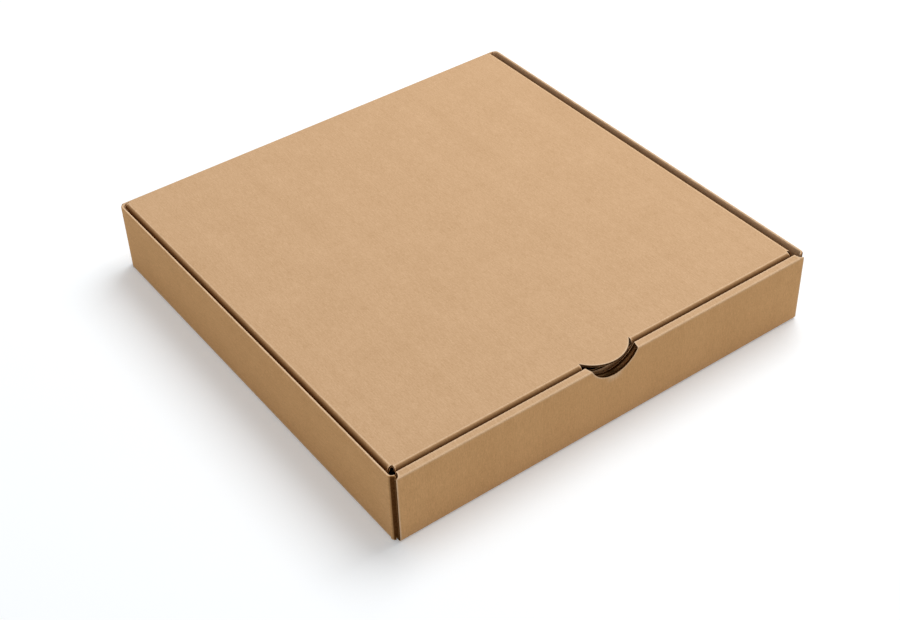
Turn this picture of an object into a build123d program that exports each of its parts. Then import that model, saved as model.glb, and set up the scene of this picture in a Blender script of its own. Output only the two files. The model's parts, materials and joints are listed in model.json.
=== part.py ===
from build123d import *

import os
from math import acos, atan2, degrees

# Plain corrugated pizza box, closed: one folded blank, modelled as its tray and its hinged lid.
# Millimetres, +Z up, front towards -Y, origin at the middle of the underside.

# Board and the room between folded plies
board = 1.6            # thickness of the corrugated card
play = 0.25            # air between plies that lie against each other

# Room inside the tray, and its height
inside_width = 305.0
inside_depth = 305.0
height = 50.0          # top of the side walls

# Folds
floor_bend = 0.4       # inner radius, walls turned up from the floor
corner_bend = 2.0      # inner radius, corner flaps turned in from the side walls
lid_bend = 1.4         # inner radius, flaps turned down from the lid
roll_crease = 0.8      # outer radius, sharp creases of the rolled front wall

# Front wall, rolled over to three plies
lid_drop = 1.0         # front wall and lid lie this far below the side walls
ply_inset = 2.8        # front and back walls end this far inside the side walls' outer faces
band_taper = 3.1       # each end of the rolled top is this much shorter inside than outside
band_hollow = 0.8      # how far that end is hollowed

# Thumb tab at the lid's front edge, and the notch for it in the front wall
tab_width = 36.7       # also the notch's width at the inner crease
tab_shy = 0.2          # tab ends this far behind the front face
notch_flare = 1.4      # notch narrows by this much each side towards the outer crease
notch_depth = 11.0

# Locking tabs of the rolled front wall, and their slots in the floor
lock_width = 32.0
lock_spread = 150.0    # between the middles of the two tabs
lock_room = 0.3        # clearance of a tab in its slot
lock_shy = 0.3         # tab ends this far above the underside

# Corner flaps inside the front and back walls
flap_length = 46.0
flap_step = 1.7        # flap lies this far under the front wall's top ply
flap_round = 9.0       # free corners
flap_foot = 0.5        # air between a flap and the floor
fold_foot = 0.4        # the corner folds reach down to this height

# Lid
side_gap = 2.4         # lid to side wall
front_gap = 1.9        # lid to rolled front wall
hinge_room = 0.2       # back wall stops this far from the lid's rear crease
tuck_foot = 11.0       # lower edge of the front flap above the underside
tuck_taper = 9.0       # each end of the front flap
ear_foot = 13.0        # lower edges of the side flaps above the underside
ear_lean = 1.5         # degrees that the side flaps turn past upright
ear_front_taper = 14.0
ear_rear_taper = 26.0
ear_rear_room = 2.5    # side flaps to the rear corner flaps
fold_rear_room = 0.5   # side folds to the back wall
lid_round = 8.0        # free corners of the lid's flaps
slit = 0.35            # width of the cut between neighbouring flaps

# Outer radii of the folds
floor_fold = floor_bend + board
corner_fold = corner_bend + board
lid_fold = lid_bend + board

# Outer faces
roll = 3 * board + 2 * play
width = inside_width + 2 * board
depth = inside_depth + roll + board
side_face = width / 2
front_face = -depth / 2
back_face = depth / 2

# Levels
lid_top = height - lid_drop
lid_under = lid_top - board
flap_top = lid_under - flap_step
flap_low = board + flap_foot

# Floor, walls and the rolled front
floor_edge = side_face - floor_fold
ply_edge = side_face - ply_inset
side_front = front_face + board + play + corner_fold
side_back = back_face - board - play - corner_fold
side_run = side_back - side_front
flap_start = side_face - corner_fold
flap_end = side_face - flap_length
foot_turn = degrees(acos((ply_edge + play - flap_start) / corner_bend))  # foot of a fold clears the plies
roll_inside = front_face + roll
notch_inner = tab_width / 2
notch_outer = notch_inner - notch_flare
band_end = ply_edge - band_taper
hollow_x = ply_edge - band_taper / 2 - band_hollow
hollow_y = front_face + roll / 2 - band_hollow

# Lid edges, creases and hinge
lid_side = side_face - board - side_gap
lid_front = roll_inside + front_gap
lid_side_crease = lid_side - lid_fold
lid_front_crease = lid_front + lid_fold
hinge_y = back_face - board / 2
hinge_z = lid_top - board / 2
shoulder_start = lid_side_crease + hinge_room
tab_half = tab_width / 2
tab_tip = front_face + tab_shy
tab_reach = lid_front_crease - tab_tip

# Lid flaps
ear_crease = (lid_side_crease, lid_front_crease, lid_top - lid_fold)
ear_fold_run = hinge_y - board / 2 - fold_rear_room - lid_front_crease
ear_run = back_face - 2 * board - play - ear_rear_room - lid_front_crease
ear_reach = lid_top - lid_fold - ear_foot
tuck_crease = (0, lid_front_crease, lid_top - lid_fold)
tuck_half = lid_side_crease - slit
tuck_reach = lid_top - lid_fold - tuck_foot
tuck_lean = degrees(atan2(tuck_reach, 2 * (hinge_y - lid_front)))  # edge swings clear of the front
window_half = tab_half + slit


def flap_face(crease, along, turn):
    """Plane of the outer face of a flap turned down from the level lid about a crease."""
    outwards = Vector(0, 0, 1).rotate(Axis((0, 0, 0), along), turn)
    return Plane(Vector(crease) + lid_fold * outwards, x_dir=along, z_dir=outwards)


# Tray: rolled front wall, floor, back wall, single side walls with corner flaps
with BuildPart() as tray:

    # Front wall: one run of board from the floor, up, over and down again
    with BuildSketch(Plane.YZ) as section:
        with BuildLine():
            Polyline(
                (front_face + 2 * floor_fold, 0),
                (front_face, 0),
                (front_face, lid_top),
                (roll_inside, lid_top),
                (roll_inside, board + play),
                (roll_inside - board, board + play),
                (roll_inside - board, lid_under),
                (front_face + board, lid_under),
                (front_face + board, board),
                (front_face + 2 * floor_fold, board),
                close=True,
            )
        make_face()
        for corner, radius in (
            ((front_face, 0), floor_fold),
            ((front_face + board, board), floor_fold - board),
            ((front_face, lid_top), roll_crease),
            ((roll_inside, lid_top), roll_crease),
        ):
            fillet(section.vertices().sort_by_distance(corner)[0], radius)
    extrude(amount=ply_edge, both=True)

    # Half-round thumb notch in the outer and the inner ply
    for face, half, inwards in ((front_face, notch_outer, -board), (roll_inside, notch_inner, board)):
        with BuildSketch(Plane.XZ.offset(-face)):
            with BuildLine():
                Line((-half, lid_top), (half, lid_top))
                ThreePointArc((-half, lid_top), (0, lid_top - notch_depth), (half, lid_top))
            make_face()
        extrude(amount=inwards, mode=Mode.SUBTRACT)

    # The level top ply: open across the notch, hollowed at its ends
    with BuildSketch(Plane.XY.offset(lid_top)):
        with BuildLine():
            Polyline(
                (-notch_outer, front_face),
                (notch_outer, front_face),
                (notch_inner, roll_inside),
                (-notch_inner, roll_inside),
                close=True,
            )
        make_face()
        with BuildLine():
            ThreePointArc((ply_edge, front_face), (hollow_x, hollow_y), (band_end, roll_inside))
            Polyline((band_end, roll_inside), (ply_edge, roll_inside), (ply_edge, front_face))
        hollow_end = make_face()
        mirror(hollow_end, about=Plane.YZ)
    extrude(amount=-board, mode=Mode.SUBTRACT)

    # The inner ply: shorter than the outer one, with two locking tabs at its foot
    with BuildSketch(Plane.XZ.offset(-roll_inside)):
        with Locations((band_end, 0)):
            inner_end = Rectangle(band_taper, lid_top, align=Align.MIN)
        mirror(inner_end, about=Plane.YZ)
    extrude(amount=board, mode=Mode.SUBTRACT)
    with BuildSketch(Plane.XZ.offset(-roll_inside)):
        with Locations((0, lock_shy)):
            with GridLocations(lock_spread, 0, 2, 1):
                Rectangle(lock_width, 2 * board + play, align=(Align.CENTER, Align.MIN))
    extrude(amount=board)

    # Floor, relieved at its corners, with the slots that take the locking tabs
    with BuildSketch():
        with Locations((0, front_face + floor_fold)):
            Rectangle(2 * ply_edge, depth - 2 * floor_fold, align=(Align.CENTER, Align.MIN))
        with Locations((0, side_front)):
            Rectangle(2 * floor_edge, side_run, align=(Align.CENTER, Align.MIN))
        with Locations((0, roll_inside - board / 2)):
            with GridLocations(lock_spread, 0, 2, 1):
                Rectangle(lock_width + 2 * lock_room, board + 2 * lock_room, mode=Mode.SUBTRACT)
    extrude(amount=board)

    # Back wall, up to just below the lid's rear crease
    with BuildSketch(Plane.YZ):
        with BuildLine():
            back_run = FilletPolyline(
                (back_face - 2 * floor_fold, 0),
                (back_face, 0),
                (back_face, lid_under - hinge_room),
                radius=floor_fold,
            )
            offset(back_run, amount=board, side=Side.LEFT)
        make_face()
    extrude(amount=ply_edge, both=True)

    # Ends of the rear crease, left on the back wall beyond the lid's panel
    with BuildSketch(Plane.YZ.offset(shoulder_start)):
        with Locations((hinge_y, hinge_z)):
            Circle(board / 2)
        with Locations((back_face - board, lid_under - hinge_room)):
            Rectangle(board, hinge_z - lid_under + hinge_room, align=Align.MIN)
    shoulder = extrude(amount=ply_edge - shoulder_start)
    mirror(shoulder, about=Plane.YZ)

    # Right side wall: fold at the floor, then the wall
    with BuildSketch(Plane.YZ.offset(floor_edge)):
        with Locations((side_front, 0)):
            Rectangle(side_run, board, align=Align.MIN)
    side_pieces = [revolve(axis=Axis((floor_edge, 0, floor_fold), (0, -1, 0)), revolution_arc=90)]
    with BuildSketch(Plane.YZ.offset(side_face)):
        with Locations((side_front, floor_fold)):
            Rectangle(side_run, height - floor_fold, align=Align.MIN)
    side_pieces.append(extrude(amount=-board))

    # Corner folds at both ends of that wall, and the flaps inside the front and back walls
    for end, turn in ((side_front, -1), (side_back, 1)):
        for low, high, arc in ((flap_low, height, 90), (fold_foot, flap_low, foot_turn)):
            with BuildSketch(Plane.XZ.offset(-end)):
                with Locations((side_face - board, low)):
                    Rectangle(board, high - low, align=Align.MIN)
            side_pieces.append(revolve(axis=Axis((flap_start, end, 0), (0, 0, turn)), revolution_arc=arc))
        with BuildSketch(Plane.XZ.offset(-(end + turn * corner_fold))) as flap:
            with Locations((flap_end, flap_low)):
                Rectangle(flap_start - flap_end, flap_top - flap_low, align=Align.MIN)
            fillet(flap.vertices().group_by(Axis.X)[0], radius=flap_round)
        side_pieces.append(extrude(amount=turn * board))
    mirror(side_pieces, about=Plane.YZ)


# Lid: panel with thumb tab, rear crease, side flaps and tuck flap
with BuildPart() as lid:

    # Panel between its creases, and the half-round tab that stays level with it
    with BuildSketch(Plane.XY.offset(lid_top)):
        with Locations((0, lid_front_crease)):
            Rectangle(2 * lid_side_crease, hinge_y - lid_front_crease, align=(Align.CENTER, Align.MIN))
        with BuildLine():
            Line((-tab_half, lid_front_crease), (tab_half, lid_front_crease))
            ThreePointArc((-tab_half, lid_front_crease), (0, tab_tip), (tab_half, lid_front_crease))
        make_face()
    extrude(amount=-board)

    # Rear crease, rounded about the hinge line
    with BuildSketch(Plane.YZ):
        with Locations((hinge_y, hinge_z)):
            Circle(board / 2)
    extrude(amount=lid_side_crease, both=True)

    # Right side flap: fold along the panel's edge, then the tapered flap
    with BuildSketch(Plane.YZ.offset(lid_side_crease)):
        with Locations((lid_front_crease + slit, lid_under)):
            Rectangle(ear_fold_run - slit, board, align=Align.MIN)
    side_flap = [revolve(axis=Axis(ear_crease, (0, 1, 0)), revolution_arc=90 + ear_lean)]
    with BuildSketch(flap_face(ear_crease, (0, 1, 0), 90 + ear_lean)) as ear:
        with BuildLine():
            Polyline(
                (slit, 0),
                (ear_run, 0),
                (ear_run - ear_rear_taper, -ear_reach),
                (ear_front_taper, -ear_reach),
                close=True,
            )
        make_face()
        fillet(ear.vertices().group_by(Axis.Y)[0], radius=lid_round)
    side_flap.append(extrude(amount=-board))
    mirror(side_flap, about=Plane.YZ)

    # Tuck flap: fold along the front edge, then the tapered flap with the hole the tab came from
    with BuildSketch(Plane.XZ.offset(-lid_front_crease)):
        with Locations((window_half, lid_under)):
            tuck_fold = Rectangle(tuck_half - window_half, board, align=Align.MIN)
        mirror(tuck_fold, about=Plane.YZ)
    revolve(axis=Axis(tuck_crease, (1, 0, 0)), revolution_arc=90 + tuck_lean)
    with BuildSketch(flap_face(tuck_crease, (1, 0, 0), 90 + tuck_lean)) as tuck:
        with BuildLine():
            Polyline(
                (-tuck_half, 0),
                (tuck_half, 0),
                (tuck_half - tuck_taper, -tuck_reach),
                (tuck_taper - tuck_half, -tuck_reach),
                close=True,
            )
        make_face()
        fillet(tuck.vertices().group_by(Axis.Y)[0], radius=lid_round)
        with BuildLine():
            Line((-window_half, 0), (window_half, 0))
            ThreePointArc((-window_half, 0), (0, lid_fold - tab_reach), (window_half, 0))
        make_face(mode=Mode.SUBTRACT)
    extrude(amount=-board)


os.makedirs("parts", exist_ok=True)
tray.part.label = "tray"
export_step(tray.part, "parts/tray.step")
lid.part.label = "lid"
export_step(lid.part, "parts/lid.step")
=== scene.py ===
import bisect
import json
from collections import namedtuple
from itertools import groupby
from math import asin, ceil, cos, hypot, pi, radians, sin, sqrt, tan

import bmesh
import bpy
import numpy as np
from mathutils import Matrix, Vector, noise


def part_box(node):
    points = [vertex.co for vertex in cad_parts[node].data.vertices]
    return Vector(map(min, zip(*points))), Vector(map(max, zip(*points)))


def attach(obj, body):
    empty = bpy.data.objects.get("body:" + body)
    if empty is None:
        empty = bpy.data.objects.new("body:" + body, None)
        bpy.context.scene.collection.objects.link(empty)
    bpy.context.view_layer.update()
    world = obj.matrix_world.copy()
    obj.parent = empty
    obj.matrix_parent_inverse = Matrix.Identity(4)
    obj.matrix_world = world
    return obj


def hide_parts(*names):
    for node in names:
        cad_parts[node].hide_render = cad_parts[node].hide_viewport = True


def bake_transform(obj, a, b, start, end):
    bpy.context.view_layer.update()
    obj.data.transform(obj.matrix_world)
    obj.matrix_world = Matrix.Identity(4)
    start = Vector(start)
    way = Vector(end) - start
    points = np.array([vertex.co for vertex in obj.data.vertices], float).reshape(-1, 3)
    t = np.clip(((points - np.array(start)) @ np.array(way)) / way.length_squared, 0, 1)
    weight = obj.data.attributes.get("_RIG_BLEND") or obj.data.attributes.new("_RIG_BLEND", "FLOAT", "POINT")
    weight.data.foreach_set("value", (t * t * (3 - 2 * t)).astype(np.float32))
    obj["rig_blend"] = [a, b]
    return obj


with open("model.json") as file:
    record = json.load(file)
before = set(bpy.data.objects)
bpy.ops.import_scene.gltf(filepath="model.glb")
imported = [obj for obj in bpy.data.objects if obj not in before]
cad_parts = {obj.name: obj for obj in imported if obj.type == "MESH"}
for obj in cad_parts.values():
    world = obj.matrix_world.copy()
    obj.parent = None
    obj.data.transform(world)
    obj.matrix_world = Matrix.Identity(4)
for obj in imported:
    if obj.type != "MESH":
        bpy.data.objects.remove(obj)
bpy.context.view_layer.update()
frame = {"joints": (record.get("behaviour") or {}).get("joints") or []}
scene = bpy.context.scene
scene.view_settings.view_transform = "Standard"
mm = 0.001
print("frame loaded")

# lengths below are millimetres; outer faces and the hinge line come from the frame
trayLow, trayHigh = (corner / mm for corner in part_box("tray"))
hingeSpot = Vector(frame["joints"][0]["pos_m"]) / mm
sideFace = trayHigh.x
frontFace = trayLow.y
backFace = trayHigh.y
wallTop = trayHigh.z

# the board: two flat liners with a wavy medium between them
# tones: above 0 rubbed pale, partly a painted highlight on edges and creases; below 0 painted shade
card = {
    "thick": 1.6,
    "liner": 0.3,
    "medium": 0.2,
    "flutePitch": 3.35,
    "cutDepth": 1.6,  # raw edges that cross the flutes are this hollow
    "crushDepth": 0.35,  # raw edges that run along them
    "fullShadeDepth": 1.1,  # a hollow of this depth is painted fully dark, as painted shade
    "lipRubHighlight": 0.9,
    "rubNear": 0.35,  # pale rubbed line along edges, partly a painted highlight: first step and faded out
    "rubFar": 1.1,
    "bendSteps": 7,
    "shadeCurve": 0.55,  # painted shade on folds gets dark early in their turn
    "leastCrush": 0.3,  # share of a fold's crush at its ends
    "dentDrift": 3.0,  # crushed folds: how far the flutes' wave wanders, and its depth
    "dentDriftScale": 0.11,
    "dentLeast": 0.6,
    "dentSpread": 0.8,
    "dentScale": (0.07, 0.01),
    "bareShallow": 0.35,  # where a fold has lost its liner: least depth, and the flutes' lumps
    "bareLump": 0.6,
    "lumpDrift": 5.0,
    "lumpDriftScale": (0.3, 0.9),
    "lumpLeast": 0.35,
    "lumpScale": (1.7, 1.9),
    "bareShade": -0.55,  # painted shade: at least this dark, and darker where it is sunken
    "bareFade": 1.6,  # the liner beside it gets painted shade over this much, up to this tone
    "besideShade": -0.7,
    "crestOuter": 0.3,  # pinched edges are rubbed pale down to here on the outer face; on the inner face the pale reaches down to the next number as painted light on its shaded side
    "crestInnerLight": 9.0,
    "crestSteps": 6,
    "mediumSteps": 9,  # steps a flute of the medium in a raw edge
    "mediumShy": 0.1,  # it stands back by this much, and is ragged by this much
    "mediumRagged": 0.06,
    "mediumScale": (0.9, 0.9),
    "mediumRoom": 0.02,  # between it and the bottom of the hollow
    "mediumLit": 0.5,  # its edge gets this much less painted shade than the hollow
    "sharpAngle": 32.0,  # shading breaks at edges sharper than this
}
thick = card["thick"]
sameSpot = 1e-4  # closer than this is one place
noLength = 1e-6  # shorter than this has no direction
linerSlot = 0  # material slots of every piece
coreSlot = 1

Stop = namedtuple("Stop", "far outer inner rub crush upright")  # a place along a folded run
Spot = namedtuple("Spot", "e far outer inner")  # a place across and along a sheet
Lip = namedtuple("Lip", "verts way deep")  # section of a raw edge


def evenly(begin, end, count):
    return [begin + (end - begin) * i / count for i in range(count + 1)]


def between(far, span, first, last):
    return first + (last - first) * (far - span[0]) / (span[1] - span[0])


class FoldedRun:
    # the board seen along its fold lines: its outer face goes straight and bends, stop by stop
    def __init__(self, start, heading, outerSide, standing=False):
        self.point = Vector(start)
        self.heading = radians(heading)
        self.outerSide = outerSide  # 1: outer face on the left of the heading, -1: right
        self.standing = standing  # a run seen from above is upright all along
        self.length = 0.0
        self.setback = 0.0  # how much of the next inner face a mitre takes
        self.stops = []
        self.addStop(self.inner(), 0.0, 0.0)

    def normal(self):
        turn = self.heading + self.outerSide * pi / 2
        return Vector((cos(turn), sin(turn)))

    def inner(self):
        return self.point - thick * self.normal()

    def addStop(self, innerPoint, rub, crush):
        # how upright the board is here; upright panels take the painted shade colour
        upright = 1.0 if self.standing else abs(self.normal().x)
        self.stops.append(Stop(self.length, self.point.copy(), innerPoint, rub, crush, upright))

    def line(self, length, rows=1, marks=(), paintedShade=0.0, fade=1.0, pale=0.0):
        # painted shade: dark at its start, fading out over the length of fade; pale: rubbed pale along both
        # ends, partly a painted highlight
        begin = self.length
        origin = self.point.copy()
        ahead = Vector((cos(self.heading), sin(self.heading)))
        mitred, self.setback = self.setback, 0.0
        places = {mitred, length, *marks, *evenly(0, length, rows)}
        for far in sorted(place for place in places if 0 < place <= length):
            self.point = origin + far * ahead
            self.length = begin + far
            rim = pale * max(1 - min(far, length - far) / card["rubFar"], 0)
            innerPoint = self.inner() + max(mitred - far, 0) * ahead
            self.addStop(innerPoint, rim - paintedShade * max(1 - far / fade, 0), 0.0)
        return begin, self.length

    def bend(self, radius, degrees, rub=0.0, crush=0.0, paintedShade=0.0):
        # painted shade: rubbed pale only where it starts, and painted dark from there on
        begin = self.length
        angle = radians(degrees)
        firstNormal = self.normal()
        centre = self.point - radius * firstNormal
        mitre = None
        if radius < thick:  # sharp crease: the inner face meets in a mitre
            lastNormal = Matrix.Rotation(-self.outerSide * angle, 2) @ firstNormal
            reach = (radius - thick) / (1 + firstNormal.dot(lastNormal))
            mitre = centre + reach * (firstNormal + lastNormal)
            self.setback = (thick - radius) * tan(angle / 2)
            self.endAtMitre(mitre, rub / 2, crush / 2)
        steps = card["bendSteps"]
        startHeading = self.heading
        for step in range(1, steps + 1):
            part = step / steps
            self.heading = startHeading - self.outerSide * angle * part
            self.point = centre + radius * self.normal()
            self.length = begin + radius * angle * part
            weight = sin(pi * part)
            innerPoint = centre + (radius - thick) * self.normal() if mitre is None else mitre
            rubShadingTone = rub / 2 if step == steps else rub * weight
            # painted shade grows through the turn
            if paintedShade:
                sunkShade = (step - 1) / (steps - 1)
                rubShadingTone = -paintedShade * sunkShade ** card["shadeCurve"] if sunkShade else rub
            self.addStop(innerPoint, rubShadingTone, crush * max(weight, card["leastCrush"]))
        return begin, self.length

    def endAtMitre(self, mitre, rub, crush):
        # the inner face of the last line goes no further than the mitre
        limit = self.length - self.setback
        early = [stop for stop in self.stops if stop.far < limit]
        late = [stop._replace(inner=mitre) for stop in self.stops if stop.far > limit]
        late[-1] = late[-1]._replace(rub=rub, crush=crush)
        self.stops = [*early, self.at(limit), *late]

    def at(self, far):
        after = bisect.bisect_right(self.stops, far, key=lambda stop: stop.far)
        after = min(max(after, 1), len(self.stops) - 1)
        a, b = self.stops[after - 1], self.stops[after]
        gap = b.far - a.far
        part = (far - a.far) / gap if gap > 0 else 0.0
        looks = (x + (y - x) * part for x, y in zip(a[3:], b[3:]))
        return Stop(far, a.outer.lerp(b.outer, part), a.inner.lerp(b.inner, part), *looks)


def rowsOf(run, sections):
    # each section: from, to, extra distances, lower and upper bound, as numbers or functions
    # a step in the outline gives two rows
    rows = []
    for begin, end, marks, *bounds in sections:
        places = {round(far, 5) for far in (begin, end, *marks, *(stop.far for stop in run.stops))}
        for far in sorted(far for far in places if begin - sameSpot <= far <= end + sameSpot):
            row = (far, *(bound(far) if callable(bound) else bound for bound in bounds))
            if not rows or any(abs(x - y) > sameSpot for x, y in zip(row, rows[-1])):
                rows.append(row)
    return rows


def across(low, high, count, tail):
    # places along a row, with close ones next to both ends for the rubbed line
    near, far = card["rubNear"], card["rubFar"]
    if high - low < 4 * far:  # too narrow for both lines
        return evenly(low, high, count - 1)
    middle = evenly(low + far, high - far, count - len(tail) - 3)
    return [low, low + near, *middle, *(high - gap for gap in tail)]


def fluteTurn(u):
    # u is the distance across the flutes
    return 2 * pi * u / card["flutePitch"]


def fluteWave(u, shift=0.0):
    return 0.5 + 0.5 * sin(fluteTurn(u) + shift)


def patchy(u, far, scale, layer):
    # noise over the board, another one in each layer
    return noise.noise((u * scale[0], far * scale[1], layer))


def foldDent(u, far):
    # crush of a fold at a place, flute by flute
    shift = card["dentDrift"] * noise.noise((u * card["dentDriftScale"], 7.0, 0.0))
    uneven = card["dentLeast"] + card["dentSpread"] * abs(patchy(u, far, card["dentScale"], 3.0))
    return fluteWave(u, shift) * uneven


def bareSink(u, far):
    # how sunken a place without liner is, from least on the flutes to about 1 between them
    wave = fluteWave(u, card["lumpDrift"] * patchy(u, far, card["lumpDriftScale"], 5.0))
    uneven = 0.5 + patchy(u, far, card["lumpScale"], 8.0) ** 2
    return card["lumpLeast"] + (1 - card["lumpLeast"]) * wave * uneven


def hollowShade(deep):
    return -min(deep / card["fullShadeDepth"], 1)


class CardSheet:
    # a stretch of board laid along a run: both faces, its edges, and the medium in the raw ones
    def __init__(self, bm, run, world, seams=(), fluteAcross=True, waves=None, bare=None,
                 hollow=card["crushDepth"], innerRim=1.0, crest=None, lipTone=None):
        self.bm = bm
        self.run = run
        self.world = world  # from the run, and a place across it, to space
        self.seams = seams  # places across where it goes on in the next sheet
        self.fluteAcross = fluteAcross  # the flutes' waves go across the run
        self.waves = waves  # how far the sheet is above its run
        self.bare = bare  # how far a place is inside a stretch without liner
        self.hollow = hollow  # depth of raw edges along the flutes
        self.innerRim = innerRim  # tone of the inner face along raw edges; below 0 it is painted shade
        self.crest = crest  # an upper edge at this level is pinched and rounded over
        self.lipTone = lipTone  # tone of raw edges, in place of the painted shade their depth gives; below 0 it is painted shade
        self.rubShadingLayer = bm.verts.layers.float["rub"]
        self.standLayer = bm.verts.layers.float["upright"]
        self.boardLayer = bm.verts.layers.float_vector["board"]
        self.grid = []
        self.loop = []
        self.kinds = []
        self.lips = {}

    def lay(self, rows, count, ends):
        self.layFaces(rows, count)
        self.traceOutline(ends)
        self.toneRims()
        self.cutLips()
        self.closeEdges()
        for chain in self.rawChains():
            self.layMedium(chain)

    def phase(self, e, far):
        return e if self.fluteAcross else far

    def onSeam(self, e):
        return any(abs(e - seam) < sameSpot for seam in self.seams)

    def put(self, e, far, depth, rub=0.0):
        # a vertex at a place across and along, this deep under the outer face
        stop = self.run.at(far)
        u = self.phase(e, far)
        point = stop.outer.lerp(stop.inner, depth / thick)
        # the inner face takes a fold's rubbed pale but not its painted shade
        foldRubShading = max(stop.rub, 0.0) if depth > thick / 2 else stop.rub
        if self.crest:
            point, rub = self.pinch(stop, e, depth, rub)
        if stop.crush and depth < thick / 2:
            point = point.lerp(stop.inner, min(stop.crush * foldDent(u, far) / thick, 1))
        if self.waves:
            point = point + stop.outer.lerp(stop.inner, -self.waves(e, far) / thick) - stop.outer
        if self.bare and depth == 0:
            point, foldRubShading = self.strip(stop, e, point, foldRubShading)
        vert = self.bm.verts.new(self.world(point, e) * mm)
        vert[self.rubShadingLayer] = rub + foldRubShading if min(rub, foldRubShading) < 0 else max(rub, foldRubShading)
        vert[self.standLayer] = stop.upright
        vert[self.boardLayer] = Vector((u, far if self.fluteAcross else e, depth)) * mm
        return vert

    def pinch(self, stop, e, depth, rub):
        # near the crest both faces bow together and are rubbed pale; far down the inner face the pale is
        # painted light
        rise = max(e - self.crest + thick / 2, 0)
        bow = thick / 2 - sqrt(max(thick * thick / 4 - rise * rise, 0))
        if depth in (0, thick):
            fade = card["crestInnerLight"] if depth else card["crestOuter"]
            rub = max(rub, card["lipRubHighlight"] * (1 - (self.crest - e) / fade))
        return stop.outer.lerp(stop.inner, min(max(depth, bow), thick - bow) / thick), rub

    def strip(self, stop, e, point, tone):
        # without its liner the board shows lumpy flutes, painted darker where sunken; the liner beside them
        # gets painted shade
        within = self.bare(stop.far)
        if within > 0:
            sunkShade = bareSink(self.phase(e, stop.far), stop.far)
            if not self.crest or e < self.crest - thick:
                depth = card["bareShallow"] + card["bareLump"] * sunkShade
                point = stop.outer.lerp(stop.inner, depth / thick)
            tone = card["bareShade"] - (1 + card["bareShade"]) * sunkShade
        elif within > -card["bareFade"]:
            tone = card["besideShade"] * (1 + within / card["bareFade"])
        return point, tone

    def face(self, verts, slot):
        kept = [vert for i, vert in enumerate(verts) if i == 0 or vert is not verts[i - 1]]
        if len(set(kept)) > 2:
            self.bm.faces.new(kept).material_index = slot

    def layFaces(self, rows, count):
        tail = [card["rubNear"], 0.0]
        if self.crest:
            tail = [thick / 2 * (1 - sin(turn)) for turn in evenly(0, pi / 2, card["crestSteps"])]
        for far, low, high in rows:
            places = across(low, high, count, tail)
            inners = self.sharedInner(far) or [self.put(e, far, thick) for e in places]
            outers = [self.put(e, far, 0) for e in places]
            self.grid.append([Spot(e, far, *pair) for e, *pair in zip(places, outers, inners)])
        for here, there in zip(self.grid, self.grid[1:]):
            isBare = self.bare and self.bare((here[0].far + there[0].far) / 2) > 0
            for a, b, c, d in zip(here, here[1:], there[1:], there):
                self.face([a.outer, b.outer, c.outer, d.outer], coreSlot if isBare else linerSlot)
                self.face([d.inner, c.inner, b.inner, a.inner], linerSlot)

    def sharedInner(self, far):
        # in a mitred crease all rows have one inner line
        if not self.grid or far <= self.grid[-1][0].far:
            return None
        step = self.run.at(far).inner - self.run.at(self.grid[-1][0].far).inner
        return [spot.inner for spot in self.grid[-1]] if step.length < sameSpot else None

    def traceOutline(self, ends):
        # once round, with the kind of edge that leads on from each spot: raw, plain or open
        start, low, end, high = ends
        sides = [(spot, start) for spot in self.grid[0][:-1]]
        sides += [(row[-1], high) for row in self.grid[:-1]]
        sides += [(spot, end) for spot in reversed(self.grid[-1][1:])]
        sides += [(row[0], low) for row in reversed(self.grid[1:])]
        self.loop = [spot for spot, kind in sides]
        for (here, kind), there in zip(sides, self.loop[1:] + self.loop[:1]):
            if self.crest and min(here.e, there.e) > self.crest - sameSpot:
                kind = "plain"
            if self.onSeam(here.e) and abs(there.e - here.e) < sameSpot:
                kind = "open"
            self.kinds.append(kind)

    def after(self, i):
        return (i + 1) % len(self.loop)

    def inward(self, i):
        # the way into the board, square to the raw edges beside a spot
        total = Vector((0, 0))
        for k in (i - 1, i):
            here, there = self.loop[k], self.loop[self.after(k)]
            step = Vector((there.e - here.e, there.far - here.far))
            if self.kinds[k] == "raw" and step.length > noLength:
                total += Vector((-step.y, step.x)).normalized()
        if self.onSeam(self.loop[i].e):
            total.x = 0
        return total.normalized() if total.length > noLength else Vector((0, 0))

    def toneRims(self):
        # both faces get a pale line along the raw edges, partly a painted highlight; on the inner face it
        # turns to painted shade where innerRim is below 0
        raw = [i for i, kind in enumerate(self.kinds) if kind == "raw"]
        if not raw:
            return
        begin = np.array([self.loop[i][:2] for i in raw])
        way = np.array([self.loop[self.after(i)][:2] for i in raw]) - begin
        square = np.maximum((way ** 2).sum(1), noLength)
        for row in self.grid:
            apart = np.array([spot[:2] for spot in row])[:, None] - begin
            along = np.clip((apart * way).sum(2) / square, 0, 1)
            gaps = np.sqrt(((apart - along[..., None] * way) ** 2).sum(2).min(1))
            for spot, gap in zip(row, gaps):
                pale = max(1 - gap / card["rubFar"], 0.0)
                for vert, tone in ((spot.outer, pale), (spot.inner, pale * self.innerRim)):
                    if abs(tone) > abs(vert[self.rubShadingLayer]):
                        vert[self.rubShadingLayer] = tone

    def cutLips(self):
        # a raw edge's section: outer liner, hollow, inner liner
        shallow, deepest = card["liner"], thick - card["liner"]
        for i, spot in enumerate(self.loop):
            if "raw" not in (self.kinds[i - 1], self.kinds[i]):
                continue
            way = self.inward(i)
            cutting = abs(way.y if self.fluteAcross else way.x)
            deep = self.hollow + (card["cutDepth"] - self.hollow) * cutting ** 2
            bottom = (spot.e + way.x * deep, spot.far + way.y * deep)
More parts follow.
